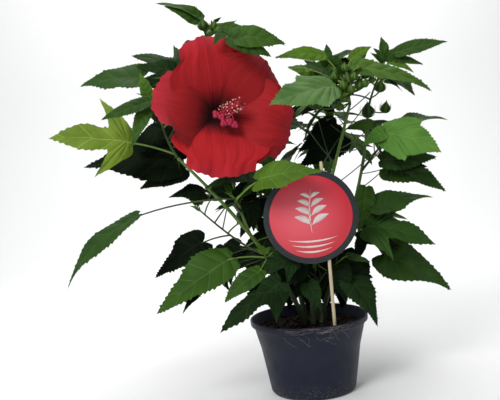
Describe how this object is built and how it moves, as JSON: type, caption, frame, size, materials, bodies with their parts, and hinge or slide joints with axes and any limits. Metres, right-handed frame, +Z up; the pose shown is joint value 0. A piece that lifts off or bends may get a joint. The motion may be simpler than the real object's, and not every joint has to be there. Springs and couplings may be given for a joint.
{
  "type": "potted hibiscus shrub",
  "caption": "Leafy hibiscus shrub in a round nursery pot, with fanned stems, lobed and heart-shaped leaves, flower buds, one very large red bloom and a round plant label on a stick.",
  "frame": {"origin": "middle of the flat underside of the pot, on the surface it stands on", "axes": "+Z up, -Y the side that the bloom and the label face, +X to the right of a person who looks at the bloom"},
  "size_m": [0.6253, 0.4768, 0.6408],
  "materials": {
    "pot_plastic": "satin",
    "potting_soil": "matte",
    "green_stem": "satin",
    "leaf": "satin",
    "red_petal": "matte",
    "stick_wood": "matte",
    "label_card": "satin"
  },
  "bodies": {
    "root": {"pot": "pot_plastic", "soil": "potting_soil", "stem_left": "green_stem", "stem_centre": "green_stem", "stem_right": "green_stem", "stem_back_right": "green_stem", "stem_back_left": "green_stem", "branch_bloom": "green_stem", "bloom": "red_petal", "label_stick": "stick_wood", "label_disc": "label_card", "foliage_left_high": "leaf", "foliage_left_low": "leaf", "foliage_left_front": "leaf", "foliage_front_low": "leaf", "foliage_branch": "leaf", "foliage_centre": "leaf", "foliage_top_left": "leaf", "foliage_right_head": "leaf", "foliage_right_top": "leaf", "foliage_right_mid": "leaf", "foliage_right_low": "leaf", "foliage_back_left": "leaf", "foliage_back_left_low": "leaf", "foliage_back_right": "leaf", "foliage_back_right_low": "leaf"}
  },
  "joints": []
}
